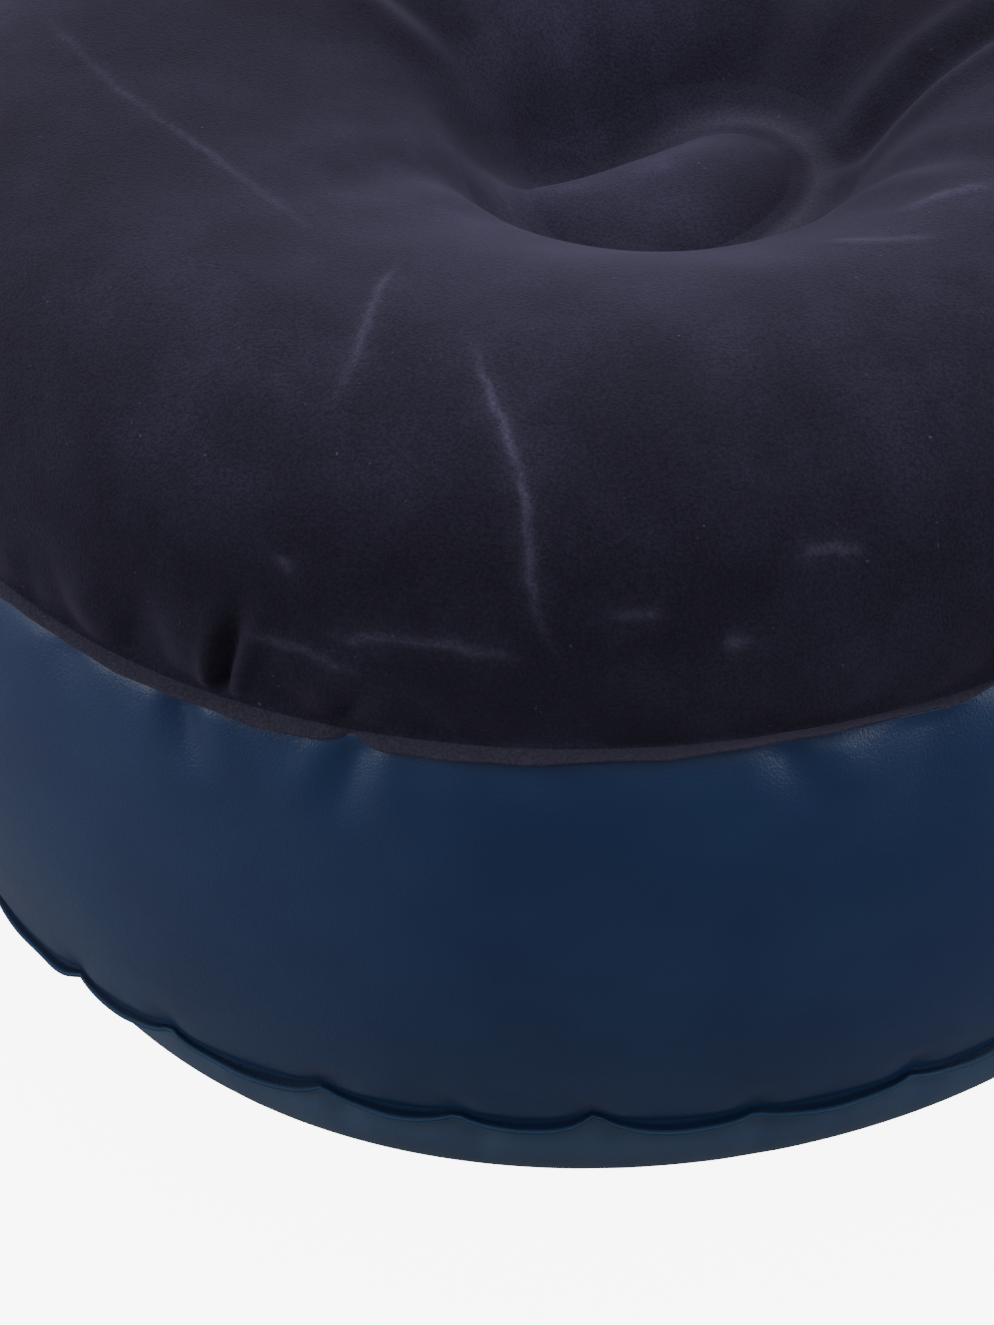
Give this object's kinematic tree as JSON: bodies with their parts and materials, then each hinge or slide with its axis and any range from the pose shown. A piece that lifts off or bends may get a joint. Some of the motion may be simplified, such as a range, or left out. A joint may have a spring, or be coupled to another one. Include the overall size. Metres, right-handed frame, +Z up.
{
  "type": "inflatable camping footstool",
  "caption": "Round inflatable footstool with a flocked crowned top, a central dimple, a plain side band, welded edges and a stopper valve at the back.",
  "frame": {"origin": "on the floor, at the axis of the round side band", "axes": "+Z up through the dimple; +Y towards the back, where the valve is; +X to the right"},
  "size_m": [0.566, 0.5722, 0.318],
  "materials": {
    "flocked_pvc": "short velvet flock on soft PVC sheet",
    "side_pvc": "satin soft PVC sheet",
    "bottom_pvc": "satin soft PVC sheet",
    "inner_pvc": "plain soft PVC sheet",
    "valve_pvc": "moulded soft PVC",
    "flap_film": "thin translucent film"
  },
  "bodies": {
    "base": {"side_band": "side_pvc", "bottom_panel": "bottom_pvc", "tether_tube": "inner_pvc", "tether_bottom_ring": "inner_pvc", "valve_base": "valve_pvc"},
    "seat": {"top_panel": "flocked_pvc", "tether_top_ring": "inner_pvc"},
    "plug": {"valve_plug": "valve_pvc"},
    "cap": {"valve_cap": "valve_pvc"},
    "flap": {"valve_flap": "flap_film"}
  },
  "joints": [
    {"name": "seat_press", "type": "slide", "parent": "base", "child": "seat", "axis": [0, 0, 1], "range_m": [-0.03, 0], "stiffness_N_per_m": 3000, "springref_m": 0.0015, "deforming": ["side_band", "tether_tube"]},
    {"name": "plug_swing", "type": "hinge", "parent": "base", "child": "plug", "pos_m": [-0.019, 0.2859, 0.121], "axis": [0, 0, 1], "range_deg": [0, 135]},
    {"name": "cap_swing", "type": "hinge", "parent": "plug", "child": "cap", "pos_m": [0.013, 0.2881, 0.121], "axis": [0, 0, -1], "range_deg": [0, 135]},
    {"name": "flap_swing", "type": "hinge", "parent": "plug", "child": "flap", "pos_m": [0, 0.2764, 0.1275], "axis": [-1, 0, 0], "range_deg": [0, 55], "stiffness_Nm_per_rad": 0.0004, "springref_deg": -5.73}
  ]
}
